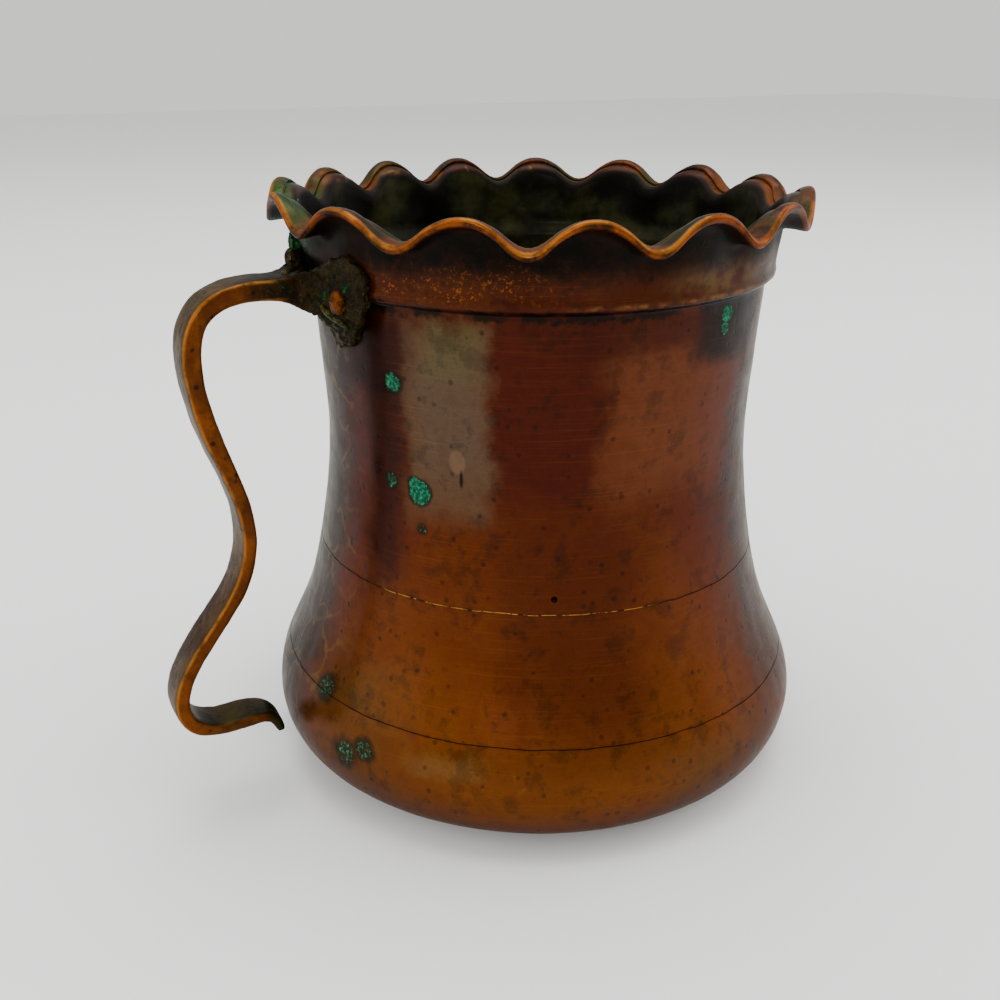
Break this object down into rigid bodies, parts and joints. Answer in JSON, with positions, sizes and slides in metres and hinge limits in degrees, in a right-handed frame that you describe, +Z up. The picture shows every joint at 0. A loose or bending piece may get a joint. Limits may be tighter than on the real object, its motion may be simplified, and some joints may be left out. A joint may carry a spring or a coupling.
{
  "type": "mug",
  "caption": "Waisted copper mug with a wide low belly, a waved and folded flange at the mouth, brazed shell seams, and an S-shaped strap handle riveted to the neck",
  "frame": {"origin": "centre of the flat face that the mug rests on, on the axis of the body", "axes": "+Z up through the mouth, the handle on the -X side, its strap in the XZ plane"},
  "size_m": [0.1713, 0.1406, 0.1484],
  "materials": {
    "aged_copper": "aged copper, satin, hammered, brown patina with purple and green bloom",
    "brass_spelter": "thin dull brass brazing line, filed flush",
    "forged_copper": "forged copper strap, orange brown, edges worn bright",
    "rivet_copper": "hammered copper rivet, dull, green round its edge",
    "solder": "old solder and verdigris, matt, lumpy, yellow green"
  },
  "bodies": {
    "root": {"base_pan": "aged_copper", "belly_band": "aged_copper", "upper_body": "aged_copper", "base_seam_braze": "brass_spelter", "waist_seam_braze": "brass_spelter", "handle": "forged_copper", "rivet_front": "rivet_copper", "rivet_back": "rivet_copper", "wing_solder_front": "solder", "wing_solder_back": "solder"}
  },
  "joints": []
}
